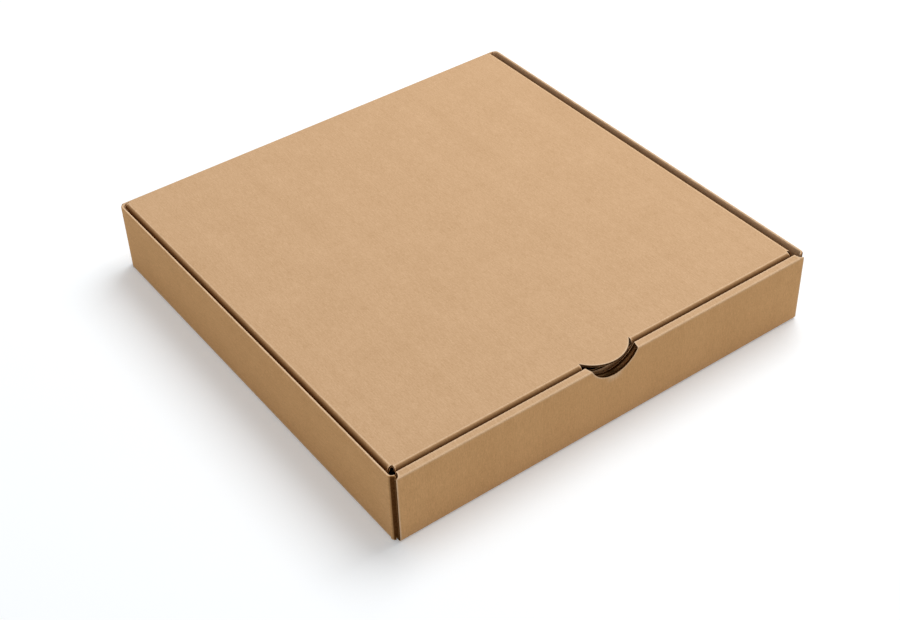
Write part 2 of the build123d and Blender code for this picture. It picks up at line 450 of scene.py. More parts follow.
            # the hollow is painted darker the deeper it is, as painted shade
            dark = hollowShade(deep)
            tone = card["lipRubHighlight"] * (1 + dark) if self.lipTone is None else self.lipTone
            innerTone = tone if self.innerRim > 0 else min(tone, self.innerRim)
            verts = [spot.outer,
                     self.put(spot.e, spot.far, shallow, tone),
                     self.put(*bottom, shallow, dark),
                     self.put(*bottom, deepest, dark),
                     self.put(spot.e, spot.far, deepest, innerTone),
                     spot.inner]
            self.lips[i] = Lip(verts, way, deep)

    def closeEdges(self):
        for i, kind in enumerate(self.kinds):
            j = self.after(i)
            if kind == "raw":
                a, b = self.lips[i].verts, self.lips[j].verts
                for k, slot in enumerate((linerSlot, coreSlot, coreSlot, coreSlot, linerSlot)):
                    self.face([b[k], a[k], a[k + 1], b[k + 1]], slot)
                for corner, beside in ((i, i - 1), (j, j)):
                    if self.kinds[beside] == "plain":
                        self.face(self.lips[corner].verts[1:5], coreSlot)
            elif kind == "plain":
                self.face(self.plainSection(i) + self.plainSection(j)[::-1], linerSlot)

    def plainSection(self, i):
        # beside a raw edge it takes in the corners of the lips
        corners = [self.lips[i].verts[k] for k in (1, 4)] if i in self.lips else []
        return [self.loop[i].outer, *corners, self.loop[i].inner]

    def rawChains(self):
        # the outline's unbroken stretches of raw edge, each as a list of spots
        size = len(self.loop)
        starts = (i for i in range(size) if self.kinds[i] == "raw" and self.kinds[i - 1] != "raw")
        first = next(starts, 0)
        order = [*range(first, size), *range(first)]
        groups = groupby(order, key=lambda i: self.kinds[i] == "raw")
        chains = [list(group) for isRaw, group in groups if isRaw]
        return [[*chain, self.after(chain[-1])] for chain in chains]

    def layMedium(self, chain):
        # the wavy medium, a thin strip standing in the raw edge
        samples = self.alongEdge(chain)
        ribbon = [self.mediumSection(*sample) for sample in samples]
        for a, b in zip(ribbon, ribbon[1:]):
            for k in range(4):
                self.face([a[k], b[k], b[(k + 1) % 4], a[(k + 1) % 4]], coreSlot)
        for (place, *_), cap in ((samples[0], ribbon[0][::-1]), (samples[-1], ribbon[-1])):
            if not self.onSeam(place.x):
                self.face(cap, coreSlot)

    def alongEdge(self, chain):
        # places along a chain, close enough for the medium's wave, with the way in and the depth
        samples = []
        for i, j in zip(chain, chain[1:]):
            a, b = Vector(self.loop[i][:2]), Vector(self.loop[j][:2])
            lipA, lipB = self.lips[i], self.lips[j]
            stretch = abs(b.x - a.x) if self.fluteAcross else abs(b.y - a.y)
            parts = max(1, ceil(stretch / (card["flutePitch"] / card["mediumSteps"])))
            for part in (k / parts for k in range(parts)):
                deep = lipA.deep * (1 - part) + lipB.deep * part
                samples.append((a.lerp(b, part), lipA.way.lerp(lipB.way, part), deep))
        samples.append((b, lipB.way, lipB.deep))
        return samples

    def mediumSection(self, place, way, deep):
        u = self.phase(place.x, place.y)
        swing = (thick - 2 * card["liner"] - card["medium"]) / 2
        slope = 2 * pi * swing / card["flutePitch"] * cos(fluteTurn(u))
        half = card["medium"] / 2 * sqrt(1 + slope * slope)
        middle = thick / 2 + swing * sin(fluteTurn(u))
        ragged = card["mediumRagged"] * patchy(u, place.y, card["mediumScale"], 1.0)
        near = place + way * (card["mediumShy"] + ragged)
        rear = place + way * (deep - card["mediumRoom"])
        # painted shade: the medium darkens from its edge to the back of the hollow
        dark = hollowShade(deep)
        lit = card["mediumLit"] + dark if self.lipTone is None else self.lipTone
        corners = ((near, 1, lit), (near, -1, lit), (rear, -1, dark), (rear, 1, dark))
        return [self.put(at.x, at.y, middle + side * half, tone) for at, side, tone in corners]


def layCard(bm, run, world, sections, count, ends=("plain", "raw", "raw", "raw"), **options):
    # ends: kind of edge at the start, on the low side, at the end and on the high side
    CardSheet(bm, run, world, **options).lay(rowsOf(run, sections), count, ends)


def layRings(bm, rings, endSlot):
    # a solid along X with flat ends, from rings of place, rub and distance round
    rubShadingLayer = bm.verts.layers.float["rub"]
    boardLayer = bm.verts.layers.float_vector["board"]
    made = []
    for ring in rings:
        verts = []
        for place, rub, turned in ring:
            vert = bm.verts.new(place * mm)
            vert[rubShadingLayer] = rub
            vert[boardLayer] = Vector((place.x, turned, 0)) * mm
            verts.append(vert)
        made.append(verts)
    for a, b in zip(made, made[1:]):
        for k in range(len(a)):
            bm.faces.new([a[k - 1], a[k], b[k], b[k - 1]])
    for end in (made[0], made[-1][::-1]):
        bm.faces.new(end).material_index = endSlot


def newMesh():
    bm = bmesh.new()
    bm.verts.layers.float.new("rub")
    bm.verts.layers.float.new("upright")
    bm.verts.layers.float_vector.new("board")
    return bm


def finishPiece(bm, name, materials):
    mergeGap = 0.002 * mm
    sliver = 0.001 * mm
    bmesh.ops.remove_doubles(bm, verts=bm.verts, dist=mergeGap)
    bmesh.ops.dissolve_degenerate(bm, edges=bm.edges, dist=sliver)
    bmesh.ops.recalc_face_normals(bm, faces=bm.faces)
    mesh = bpy.data.meshes.new(name)
    bm.to_mesh(mesh)
    bm.free()
    mesh.shade_smooth()
    mesh.set_sharp_from_angle(angle=radians(card["sharpAngle"]))
    for material in materials:
        mesh.materials.append(material)
    piece = bpy.data.objects.new(name, mesh)
    scene.collection.objects.link(piece)
    mesh.calc_loop_triangles()
    print(name, len(mesh.loop_triangles), "triangles")
    return piece


class RoundCut:
    # part of a circle, from the half width of its mouth and its depth
    def __init__(self, half, depth):
        self.half = half
        self.depth = depth
        self.radius = (half * half + depth * depth) / (2 * depth)

    def halfAt(self, below):
        if below >= self.depth:
            return 0.0
        return sqrt(max(self.radius ** 2 - (below + self.radius - self.depth) ** 2, 0))

    def marks(self, count):
        # depths that share the cut out evenly along its rim
        full = asin(min(self.half / self.radius, 1))
        return [self.depth - self.radius * (1 - cos(full * i / count)) for i in range(count)]


def taperedEdge(start, slope, reach, radius, steps=9):
    # side of a flap that narrows by slope per millimetre and has a rounded free corner
    size = hypot(1, slope)
    middle = start - slope * (reach - radius) - radius * size
    tangent = reach - radius + radius * slope / size

    def edge(far):
        if far <= tangent:
            return start - slope * far
        return middle + sqrt(max(radius ** 2 - (far - reach + radius) ** 2, 0))

    return edge, [tangent + (reach - tangent) * sin(turn) for turn in evenly(0, pi / 2, steps)]


def threePointX(a, b, c):
    # x of the arc through three points, on the hollow side, from y
    (ax, ay), (bx, by), (cx, cy) = a, b, c
    aa, bb, cc = (x * x + y * y for x, y in (a, b, c))
    d = 2 * (ax * (by - cy) + bx * (cy - ay) + cx * (ay - by))
    ux = (aa * (by - cy) + bb * (cy - ay) + cc * (ay - by)) / d
    uy = (aa * (cx - bx) + bb * (ax - cx) + cc * (bx - ax)) / d
    radius = hypot(ax - ux, ay - uy)
    side = 1 if bx > ux else -1
    return lambda y: ux + side * sqrt(max(radius ** 2 - (y - uy) ** 2, 0))


def longWay(mirror):
    # for a run seen from the side, with the fold lines along X
    return lambda point, e: Vector((mirror * e, point.x, point.y))


def roundWay(mirror):
    # for a run seen from above
    return lambda point, e: Vector((mirror * point.x, point.y, e))


def sideWay(mirror):
    # for a run seen from the front, with the fold lines along Y
    return lambda point, e: Vector((mirror * point.x, e, point.y))


# materials: shared steps first, then shared effects as node groups
def addNode(tree, kind, links=None, **settings):
    node = tree.nodes.new(kind)
    for key, value in settings.items():
        setattr(node, key, value)
    for key, source in (links or {}).items():
        if isinstance(source, bpy.types.NodeSocket):
            tree.links.new(source, node.inputs[key])
        else:
            node.inputs[key].default_value = source
    return node


def calc(tree, operation, *values, clamp=False):
    node = addNode(tree, "ShaderNodeMath", dict(enumerate(values)), operation=operation, use_clamp=clamp)
    return node.outputs[0]


def mixColours(tree, amount, first, second):
    # inputs 6 and 7 and output 2 of the mix node are its colours
    links = {0: amount, 6: first, 7: second}
    return addNode(tree, "ShaderNodeMix", links, data_type="RGBA").outputs[2]


def stretched(tree, vector, scale, turn=0.0):
    links = {"Vector": vector, "Scale": scale, "Rotation": (0, 0, turn)}
    return addNode(tree, "ShaderNodeMapping", links).outputs[0]


def noiseTone(tree, vector, scale=1.0, detail=2.0, roughness=0.5):
    links = {"Vector": vector, "Scale": scale, "Detail": detail, "Roughness": roughness}
    return addNode(tree, "ShaderNodeTexNoise", links).outputs["Fac"]


def seenDirectly(tree):
    # 1 for what the camera sees, 0 for light on its way round
    path = addNode(tree, "ShaderNodeLightPath")
    seen = calc(tree, "MAXIMUM", path.outputs["Is Camera Ray"], path.outputs["Is Glossy Ray"])
    return calc(tree, "MAXIMUM", seen, path.outputs["Is Transmission Ray"])


def newMaterial(name):
    material = bpy.data.materials.new(name)
    material.use_nodes = True
    material.node_tree.nodes.clear()
    return material, material.node_tree


def nodeGroup(name, numbers, outputs):
    # from a place on the board and numbers
    group = bpy.data.node_groups.new(name, "ShaderNodeTree")
    group.interface.new_socket("Board", in_out="INPUT", socket_type="NodeSocketVector")
    for labels, way in ((numbers, "INPUT"), (outputs, "OUTPUT")):
        for label in labels:
            group.interface.new_socket(label, in_out=way, socket_type="NodeSocketFloat")
    return group, group.nodes.new("NodeGroupInput").outputs, group.nodes.new("NodeGroupOutput").inputs


# scales are noise cells per metre of board
paper = {
    "hairScale": (1250, 160, 300),
    "crossScale": (1500, 700, 300),
    "crossTurn": 0.4,
    "cloudScale": 38.0,
    "fleckScale": 520.0,
    "fleckFrom": 0.70,  # noise above this is a fleck, and from the second on a full one
    "fleckFull": 0.78,
    "streakScale": (150, 2.5, 1),
}


def makeFibreGroup():
    # paper fibre: long fine hairs, short flecks and slow clouds, as one tone around 1 and a height
    group, given, made = nodeGroup("paperFibre", ("Hair", "Cloud", "Fleck"), ("Tone", "Height"))
    board = given["Board"]
    hair = noiseTone(group, stretched(group, board, paper["hairScale"]), detail=4.0, roughness=0.65)
    crossed = stretched(group, board, paper["crossScale"], paper["crossTurn"])
    hairs = calc(group, "ADD", hair, noiseTone(group, crossed, detail=3.0))
    cloud = noiseTone(group, board, paper["cloudScale"], detail=5.0, roughness=0.6)
    grain = noiseTone(group, board, paper["fleckScale"], detail=1.0)
    limits = {"Value": grain, "From Min": paper["fleckFrom"], "From Max": paper["fleckFull"]}
    fleck = addNode(group, "ShaderNodeMapRange", limits).outputs["Result"]
    hairTone = calc(group, "MULTIPLY", calc(group, "SUBTRACT", hairs, 1.0), given["Hair"])
    cloudTone = calc(group, "MULTIPLY", calc(group, "SUBTRACT", cloud, 0.5), given["Cloud"])
    fleckTone = calc(group, "MULTIPLY", fleck, given["Fleck"])
    tone = calc(group, "ADD", 1.0, calc(group, "ADD", hairTone, cloudTone))
    group.links.new(calc(group, "SUBTRACT", tone, fleckTone), made["Tone"])
    group.links.new(hairs, made["Height"])
    return group


def makeFluteGroup():
    # the medium showing through the liner: one faint ridge a flute, some stronger than others
    group, given, made = nodeGroup("fluteLines", (), ("Ridge", "Streak"))
    board = given["Board"]
    parts = addNode(group, "ShaderNodeSeparateXYZ", {0: board})
    turns = calc(group, "DIVIDE", parts.outputs[0], card["flutePitch"] * mm)
    wave = calc(group, "SINE", calc(group, "MULTIPLY", turns, 2 * pi))
    uneven = noiseTone(group, stretched(group, board, paper["streakScale"]))
    group.links.new(calc(group, "MULTIPLY", wave, uneven), made["Ridge"])
    group.links.new(calc(group, "SUBTRACT", uneven, 0.5), made["Streak"])
    return group


fibreGroup = makeFibreGroup()
fluteGroup = makeFluteGroup()


def cardMaterial(name, look):
    material, tree = newMaterial(name)

    def scaled(socket, key):
        return calc(tree, "MULTIPLY", socket, look[key])

    board = addNode(tree, "ShaderNodeAttribute", attribute_name="board").outputs["Vector"]
    rub = addNode(tree, "ShaderNodeAttribute", attribute_name="rub").outputs["Fac"]
    stand = addNode(tree, "ShaderNodeAttribute", attribute_name="upright").outputs["Fac"]
    strengths = {label: look[label.lower()] for label in ("Hair", "Cloud", "Fleck")}
    fibre = addNode(tree, "ShaderNodeGroup", {"Board": board, **strengths}, node_tree=fibreGroup)
    flute = addNode(tree, "ShaderNodeGroup", {"Board": board}, node_tree=fluteGroup)

    # colour: plain panel or the painted shade colour of upright panels, rubbed pale edges that are partly
    # painted highlights, and painted shade in hollows and folds
    rubShadingTone = scaled(calc(tree, "MAXIMUM", rub, 0.0), "rub")
    sunkShade = calc(tree, "MULTIPLY", calc(tree, "MINIMUM", rub, 0.0), -look["paintedShade"], clamp=True)
    colour = mixColours(tree, stand, look["colour"], look["uprightShadeColour"])
    colour = mixColours(tree, rubShadingTone, colour, look["rubHighlightColour"])
    colour = mixColours(tree, sunkShade, colour, look["paintedShadeColour"])

    # tone of the fibre and the flutes
    tone = calc(tree, "ADD", fibre.outputs["Tone"], scaled(flute.outputs["Streak"], "streak"))
    tone = calc(tree, "ADD", tone, scaled(flute.outputs["Ridge"], "ridge"))
    apart = {0: look["tint"], 1: calc(tree, "SUBTRACT", tone, 1.0), 2: (1, 1, 1)}
    tint = addNode(tree, "ShaderNodeVectorMath", apart, operation="MULTIPLY_ADD").outputs[0]
    shade = addNode(tree, "ShaderNodeVectorMath", {0: colour, 1: tint}, operation="MULTIPLY").outputs[0]

    # surface
    fibreHeight = scaled(fibre.outputs["Height"], "fibreHeight")
    height = calc(tree, "ADD", scaled(flute.outputs["Ridge"], "ridgeHeight"), fibreHeight)
    bump = addNode(tree, "ShaderNodeBump", {"Height": height, "Strength": 1.0, "Distance": mm})
    fibreApart = calc(tree, "SUBTRACT", fibre.outputs["Tone"], 1.0)
    rough = calc(tree, "ADD", look["roughness"], scaled(fibreApart, "roughSpread"))
    finish = {"Base Color": shade, "Roughness": rough, "Normal": bump.outputs[0],
              "Specular IOR Level": look["specular"]}
    shader = addNode(tree, "ShaderNodeBsdfPrincipled", finish)
    addNode(tree, "ShaderNodeOutputMaterial", {0: shader.outputs[0]})
    return material


kraftLook = {
    "colour": (0.612, 0.392, 0.221, 1),
    "uprightShadeColour": (0.672, 0.387, 0.172, 1),  # painted shade: upright panels are painted a deeper, warmer colour than the top
    # rubbed pale colour, partly a painted highlight on edges and creases
    "rubHighlightColour": (0.78, 0.57, 0.38, 1),
    "tint": (0.85, 1.05, 1.4),  # how far each colour follows the fibre's tone
    "hair": 0.45,
    "cloud": 0.16,
    "fleck": 0.09,
    "streak": 0.11,
    "ridge": 0.006,
    "rub": 0.85,
    "paintedShade": 1.0,  # how far painted shade turns hollows and shaded folds to the shade colour
    "paintedShadeColour": (0.08, 0.026, 0.003, 1),
    "ridgeHeight": 0.006,
    "fibreHeight": 0.018,
    "roughness": 0.78,
    "roughSpread": 0.8,  # how far the roughness follows the fibre's tone
    "specular": 0.05,
}
coreLook = {
    **kraftLook,
    "colour": (0.28, 0.13, 0.04, 1),
    "uprightShadeColour": (0.28, 0.13, 0.04, 1),
    "rubHighlightColour": (0.55, 0.33, 0.15, 1),
    "hair": 0.4,
    "fleck": 0.1,
    "rub": 0.8,
    "paintedShadeColour": (0.065, 0.02, 0.004, 1),
    "specular": 0.0,
}
kraftFace = cardMaterial("kraftFace", kraftLook)
kraftCore = cardMaterial("kraftCore", coreLook)
print("card materials made")


# the tray
tray = {
    "floorFold": 2.0,  # outer radii of the folds
    "cornerFold": 3.6,
    "rollCrease": 0.4,
    "frontTop": wallTop - 1.0,
    "backTop": hingeSpot.z - 1.0,
    "roll": 5.3,  # depth of the rolled front
    "plyEnd": sideFace - 2.8,
    "innerEnd": sideFace - 5.9,
    "hollow": 0.8,  # how far the ends of the rolled top are hollowed
    "notchOuter": 16.95,
    "notchInner": 18.35,
    "notchDepth": 11.0,
    "lockMiddle": 75.0,
    "lockHalf": 16.0,
    "slotRoom": 0.3,
    "plyFoot": 1.85,
    "lockFoot": 0.3,
    "flapEnd": sideFace - 46.0,
    "flapLow": 2.1,
    "flapTop": wallTop - 4.3,
    "flapRound": 9.0,
    "flapFace": 1.85,  # flaps' outer faces behind the front and back faces
    "cornerFoot": 0.4,  # corner folds reach down to here, over this much of their turn
    "footTurn": 58.3,
    "bareTurn": 48.0,  # and their liner is gone over this much of it, next to the flaps
    "creaseEnd": sideFace - 6.8,
    "columns": 64,
    "wallColumns": 84,
    "footColumns": 62,
    "wallRows": 6,
    "floorRows": 12,
    "bandRows": 8,
    "sideRows": 24,
    "flapRows": 4,
    "roundSteps": 8,
    "notchSteps": 16,
    "archSteps": 12,
    "plyHollow": 1.0,  # hollow of the front and back walls' ends
    # painted shade on the walls' inner faces along their raw ends
    "plyInnerShade": -0.7,
    "notchShade": -1.0,  # painted shade: the notch's cut edges are painted dark
    # pale rubbed lines on folds and creases, partly painted highlights
    "foldRubShading": 0.1,
    "cornerRub": 0.12,
    "foldCrush": 0.05,
    "creaseRubHighlight": 0.8,
    "creaseCrush": 0.2,
    "innerCreaseRubHighlight": 0.88,
    "innerCreaseCrush": 0.12,
    "archRub": 0.4,
}
tray["sideFront"] = frontFace + tray["flapFace"] + tray["cornerFold"]
tray["sideBack"] = backFace - tray["flapFace"] - tray["cornerFold"]


def layLongRun(bm):
    # back wall, floor and rolled front wall are one run of board
    t = tray
    fold, crease, mid = t["floorFold"], t["rollCrease"], t["lockMiddle"]
    run = FoldedRun((backFace, t["backTop"]), -90, 1)
    backWall = run.line(t["backTop"] - fold, t["wallRows"])
    backFold = run.bend(fold, 90, t["foldRubShading"], t["foldCrush"])
    floor = run.line(backFace - frontFace - 2 * fold, t["floorRows"])
    frontFold = run.bend(fold, 90, t["foldRubShading"], t["foldCrush"])
    frontWall = run.line(t["frontTop"] - fold - crease, t["wallRows"])
    outerCrease = run.bend(crease, 90, t["creaseRubHighlight"], t["creaseCrush"])
    run.line(t["roll"] - 2 * crease, t["bandRows"], pale=t["creaseRubHighlight"])
    innerCrease = run.bend(crease, 90, t["innerCreaseRubHighlight"], t["innerCreaseCrush"])
    innerPly = run.line(t["frontTop"] - crease - t["plyFoot"], t["wallRows"])
    lockTab = run.line(t["plyFoot"] - t["lockFoot"])

    outerNotch = RoundCut(t["notchOuter"], t["notchDepth"])
    innerNotch = RoundCut(t["notchInner"], t["notchDepth"])
    notchMarks = [frontWall[1] + crease - depth for depth in outerNotch.marks(t["notchSteps"])]
    notchMarks += [innerPly[0] - crease + depth for depth in innerNotch.marks(t["notchSteps"])]
    rollBack = frontFace + t["roll"]
    hollowMiddle = ((t["plyEnd"] + t["innerEnd"]) / 2 - t["hollow"], frontFace + t["roll"] / 2 - t["hollow"])
    hollowX = threePointX((t["plyEnd"], frontFace), hollowMiddle, (t["innerEnd"], rollBack))

    def bandY(far):
        return run.at(far).outer.x

    def notchLow(far):
        if far <= frontWall[1]:
            return outerNotch.halfAt(frontWall[1] + crease - far)
        if far >= innerPly[0]:
            return innerNotch.halfAt(far - innerPly[0] + crease)
        part = (bandY(far) - frontFace) / t["roll"]
        level = t["notchOuter"] + (t["notchInner"] - t["notchOuter"]) * part
        if far < outerCrease[1]:
            return between(far, outerCrease, outerNotch.halfAt(crease), level)
        if far > innerCrease[0]:
            return between(far, innerCrease, level, innerNotch.halfAt(crease))
        return level

    def upperEnd(far):
        if outerCrease[0] <= far <= innerCrease[1]:
            return hollowX(bandY(far))
        return t["plyEnd"] if far < outerCrease[0] else t["innerEnd"]

    def floorAt(y):
        return floor[0] + backFace - fold - y

    # the floor's slots for the locking tabs, and the corners where its width steps
    slotHalf = t["lockHalf"] + t["slotRoom"]
    slotFrom = floorAt(rollBack + t["slotRoom"])
    slotTo = floorAt(rollBack - thick - t["slotRoom"])
    stepBack, stepFront = floorAt(t["sideBack"]), floorAt(t["sideFront"])
    floorEnd = sideFace - fold
    upper = (frontWall[0], innerPly[1], notchMarks)
    nearParts = [
        (backWall[0], backFold[1], [], 0, mid),
        (floor[0], slotFrom, [stepBack], 0, mid),
        (slotFrom, slotTo, [], 0, mid - slotHalf),
        (slotTo, frontFold[1], [], 0, mid),
        (*upper, notchLow, mid),
        (*lockTab, [], mid - t["lockHalf"], mid),
    ]
    farParts = [
        (backWall[0], backFold[1], [], mid, t["plyEnd"]),
        (floor[0], stepBack, [], mid, t["plyEnd"]),
        (stepBack, slotFrom, [], mid, floorEnd),
        (slotFrom, stepFront, [], mid + slotHalf, floorEnd),
        (stepFront, slotTo, [], mid + slotHalf, t["plyEnd"]),
        (slotTo, frontFold[1], [], mid, t["plyEnd"]),
        (*upper, mid, upperEnd),
        (*lockTab, [], mid, mid + t["lockHalf"]),
    ]
    # on the notch's side the cut edges and the inner face get painted shade
    sheets = ((nearParts, t["notchShade"], t["notchShade"]), (farParts, t["plyInnerShade"], None))
    for mirror in (1, -1):
        for parts, innerTone, lipTone in sheets:
            layCard(bm, run, longWay(mirror), parts, t["columns"], seams=(0, mid),
                    hollow=t["plyHollow"], innerRim=innerTone, lipTone=lipTone)


def laySideWalls(bm):
    # side wall with its corner folds and flaps, and its fold at the floor
    t = tray
    fold, corner, flapRound = t["floorFold"], t["cornerFold"], t["flapRound"]
    flapLong = sideFace - corner - t["flapEnd"]
    marks = [flapRound * (1 - cos(turn)) for turn in evenly(0, pi / 2, t["roundSteps"])]
    wall = FoldedRun((t["flapEnd"], frontFace + t["flapFace"]), 0, -1, standing=True)
    frontFlap = wall.line(flapLong, t["flapRows"], marks)
    frontCorner = wall.bend(corner, 90, t["cornerRub"], t["foldCrush"])
    side = wall.line(t["sideBack"] - t["sideFront"], t["sideRows"])
    backCorner = wall.bend(corner, 90, t["cornerRub"], t["foldCrush"])
    backFlap = wall.line(flapLong, t["flapRows"], [flapLong - mark for mark in marks])

    def roundOff(far):
        free = min(far - frontFlap[0], backFlap[1] - far, flapRound)
        return flapRound - sqrt(max(flapRound ** 2 - (flapRound - free) ** 2, 0))

    def flapFoot(far):
        return t["flapLow"] + roundOff(far)

    def flapHead(far):
        return t["flapTop"] - roundOff(far)

    footLong = corner * radians(t["footTurn"])
    footFrom, footTo = frontCorner[1] - footLong, backCorner[0] + footLong
    bareLong = corner * radians(t["bareTurn"])

    def bareFold(far):
        # how far a place is inside a bare stretch; less than 0 outside
        if far < frontCorner[0] or far > backCorner[1]:
            return -card["bareFade"]
        return max(frontCorner[0] + bareLong - far, far - backCorner[1] + bareLong)

    wallParts = [
        (*frontFlap, [], flapFoot, flapHead),
        (frontCorner[0], footFrom, [], t["flapLow"], wallTop),
        (footFrom, frontCorner[1], [], t["cornerFoot"], wallTop),
        (*side, [], fold, wallTop),
        (backCorner[0], footTo, [], t["cornerFoot"], wallTop),
        (footTo, backCorner[1], [], t["flapLow"], wallTop),
        (*backFlap, [], flapFoot, flapHead),
    ]
    foot = FoldedRun((sideFace - fold, 0), 0, -1)
    footBend = foot.bend(fold, 90, t["foldRubShading"])
    footParts = [(*footBend, [], t["sideFront"], t["sideBack"])]
    for mirror in (1, -1):
        layCard(bm, wall, roundWay(mirror), wallParts, t["wallColumns"], ("raw", "raw", "raw", "raw"),
                bare=bareFold, crest=wallTop)
        layCard(bm, foot, sideWay(mirror), footParts, t["footColumns"], ("plain", "raw", "plain", "raw"),
                fluteAcross=False)


def layCreaseEnds(bm):
    # ends of the rear crease, on the back wall
    t = tray
    half = thick / 2
    drop = t["backTop"] - hingeSpot.z
    turns = evenly(0, pi, t["archSteps"])
    arch = [(half * cos(turn), half * sin(turn), t["archRub"] * sin(turn)) for turn in turns]
    outline = [(half, drop, 0.0), *arch, (-half, drop, 0.0)]
    places = [(hingeSpot + Vector((0, y, z)), rub) for y, z, rub in outline]
    for mirror in (1, -1):
        ends = (Vector((mirror * x, 0, 0)) for x in (t["creaseEnd"], t["plyEnd"]))
        rings = [[(end + spot, rub, spot.z - spot.y) for spot, rub in places] for end in ends]
        layRings(bm, rings, coreSlot)


def makeTray():
    bm = newMesh()
    layLongRun(bm)
    laySideWalls(bm)
    layCreaseEnds(bm)
    piece = finishPiece(bm, "tray_card", (kraftFace, kraftCore))
    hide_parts("tray")
    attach(piece, "tray")


# the lid
lid = {
    "fold": 3.0,  # outer radius of its folds
    # rubbed pale line where each fold starts, partly a painted highlight
    "foldRubShading": 0.8,
    "tuckCrush": 0.12,
    "foldShade": 1.0,  # painted shade: they are painted darker towards the flaps, and the flaps' first stretch with them
    "shadeFade": 9.0,
    "top": wallTop - 1.0,
    "sideCrease": sideFace - 7.0,
    "frontCrease": frontFace + 10.2,
    "slit": 0.35,
    "tabHalf": 18.35,
    "tabReach": 10.0,
    # painted shade on the tab's inner face along its cut edge
    "tabInnerShade": -0.7,
    "windowHalf": 18.7,
    "windowDepth": 7.0,
    "tuckReach": 35.0,
    "tuckTaper": 9.0,
    "tuckTurn": 93.296,
    "earReach": 33.0,
    "earTurn": 91.5,
    "earFoldEnd": hingeSpot.y - 1.3,
    "earEnd": backFace - 5.95,
    "earFrontTaper": 14.0,
    "earRearTaper": 26.0,
    "freeRound": 8.0,
    "sag": 0.12,  # slow waves of the panel, fading out towards its edges
    "sagFade": 20.0,
    "sagScale": (0.013, 0.008),
    "columns": 96,
    "tabColumns": 16,
    "panelRows": 40,
    "shadeRows": 4,
    "flapRows": 6,
    "tabSteps": 26,
    "windowSteps": 20,
}


def layPanel(bm, mirror):
    d = lid
    half = d["sideCrease"]
    run = FoldedRun((hingeSpot.y, d["top"]), 180, -1)
    flat = run.line(hingeSpot.y - d["frontCrease"], d["panelRows"])

    def waves(e, far):
        inside = min(half - abs(e), flat[1] - far, far)
        return d["sag"] * max(min(inside / d["sagFade"], 1.0), 0) * patchy(e, far, d["sagScale"], 4.2)

    layCard(bm, run, longWay(mirror), [(*flat, [], 0, half)], d["columns"],
            ("plain", "plain", "plain", "plain"), seams=(0,), waves=waves)


def layTab(bm, mirror):
    d = lid
    run = FoldedRun((d["frontCrease"], d["top"]), 180, -1)
    run.line(d["tabReach"])
    cut = RoundCut(d["tabHalf"], d["tabReach"])
    marks = cut.marks(d["tabSteps"])[1:]  # all but the very tip
    layCard(bm, run, longWay(mirror), [(0, marks[0], marks, 0, cut.halfAt)], d["tabColumns"],
            seams=(0,), innerRim=d["tabInnerShade"])


def foldFlap(run, turn, crush, reach):
    # a lid fold and the flap below it, with painted shade through the turn and the flap's first stretch
    d = lid
    fold = run.bend(d["fold"], turn, d["foldRubShading"], crush, d["foldShade"])
    shaded = evenly(0, d["shadeFade"], d["shadeRows"])
    return fold, run.line(reach, d["flapRows"], shaded, d["foldShade"], d["shadeFade"])


def layTuck(bm, mirror):
    d = lid
    run = FoldedRun((d["frontCrease"], d["top"]), 180, -1)
    fold, flap = foldFlap(run, d["tuckTurn"], d["tuckCrush"], d["tuckReach"])
    half = d["sideCrease"] - d["slit"]
    window = RoundCut(d["windowHalf"], d["windowDepth"])
    side, sideMarks = taperedEdge(half, d["tuckTaper"] / d["tuckReach"], d["tuckReach"], d["freeRound"])
    marks = [flap[0] + mark for mark in window.marks(d["windowSteps"]) + sideMarks]
    parts = [
        (*fold, [], d["windowHalf"], half),
        (*flap, marks, lambda far: window.halfAt(far - flap[0]), lambda far: side(far - flap[0])),
    ]
    layCard(bm, run, longWay(mirror), parts, d["columns"], seams=(0,))


def layEar(bm, mirror):
    d = lid
    run = FoldedRun((d["sideCrease"], d["top"]), 0, 1)
    fold, flap = foldFlap(run, d["earTurn"], 0.0, d["earReach"])
    begin, reach, corner = d["frontCrease"] + d["slit"], d["earReach"], d["freeRound"]
    front, frontMarks = taperedEdge(-begin, (d["earFrontTaper"] - d["slit"]) / reach, reach, corner)
    rear, rearMarks = taperedEdge(d["earEnd"], d["earRearTaper"] / reach, reach, corner)
    marks = [flap[0] + mark for mark in frontMarks + rearMarks]
    parts = [
        (*fold, [], begin, d["earFoldEnd"]),
        (*flap, marks, lambda far: -front(far - flap[0]), lambda far: rear(far - flap[0])),
    ]
    layCard(bm, run, sideWay(mirror), parts, d["columns"], fluteAcross=False)


def makeLid():
    bm = newMesh()
    for mirror in (1, -1):
        for layPart in (layPanel, layTab, layTuck, layEar):
            layPart(bm, mirror)
    piece = finishPiece(bm, "lid_card", (kraftFace, kraftCore))
    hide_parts("lid")
    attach(piece, "lid")


# the bent card between back wall and lid
rearCrease = {
    "radius": 0.8,
    "skin": 0.75,
    "halfWidth": sideFace - 7.0,
    "columns": 180,
    "steps": 8,
    "dent": 0.05,  # flute by flute
    "rub": 0.35,
}


